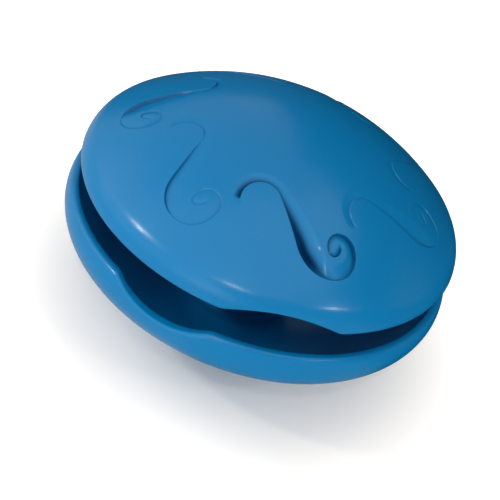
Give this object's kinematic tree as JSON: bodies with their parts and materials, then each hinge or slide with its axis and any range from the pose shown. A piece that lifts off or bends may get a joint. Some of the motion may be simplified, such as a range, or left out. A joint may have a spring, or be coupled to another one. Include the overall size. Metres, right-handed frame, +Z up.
{
  "type": "cat treat dispenser toy",
  "caption": "Disc-shaped treat dispenser: two domed halves on a coarse central screw. Twisting sets the gap between scalloped rims through which treats fall.",
  "frame": {"origin": "centre of the flat foot under the lower half, on the screw's axis", "axes": "+Z up along the screw's axis, from the foot to the crown of the upper half; the upper half's scallops stand at -75.6, 44.4 and 164.4 degrees about it, counted from +X"},
  "size_m": [0.0918, 0.0918, 0.0519],
  "materials": {
    "shell": "satin blue injection moulding, semi-rigid",
    "screw": "blue nylon, satin, as moulded",
    "grip": "soft dark blue rubber, matte"
  },
  "bodies": {
    "lower_half": {"lower_shell": "shell", "thread_stem": "screw"},
    "lift_carrier": {"grip_ring": "grip"},
    "upper_half": {"upper_shell": "shell", "thread_bush": "screw"}
  },
  "joints": [
    {"name": "lift", "type": "slide", "parent": "lower_half", "child": "lift_carrier", "axis": [0, 0, 1], "range_m": [-0.006, 0.012]},
    {"name": "twist", "type": "hinge", "parent": "lift_carrier", "child": "upper_half", "pos_m": [0, 0, 0.03], "axis": [0, 0, 1], "range_deg": [-360, 720]}
  ],
  "couplings": [
    {"joint": "lift", "follows": "twist", "m_per_rad": 0.00095493}
  ]
}
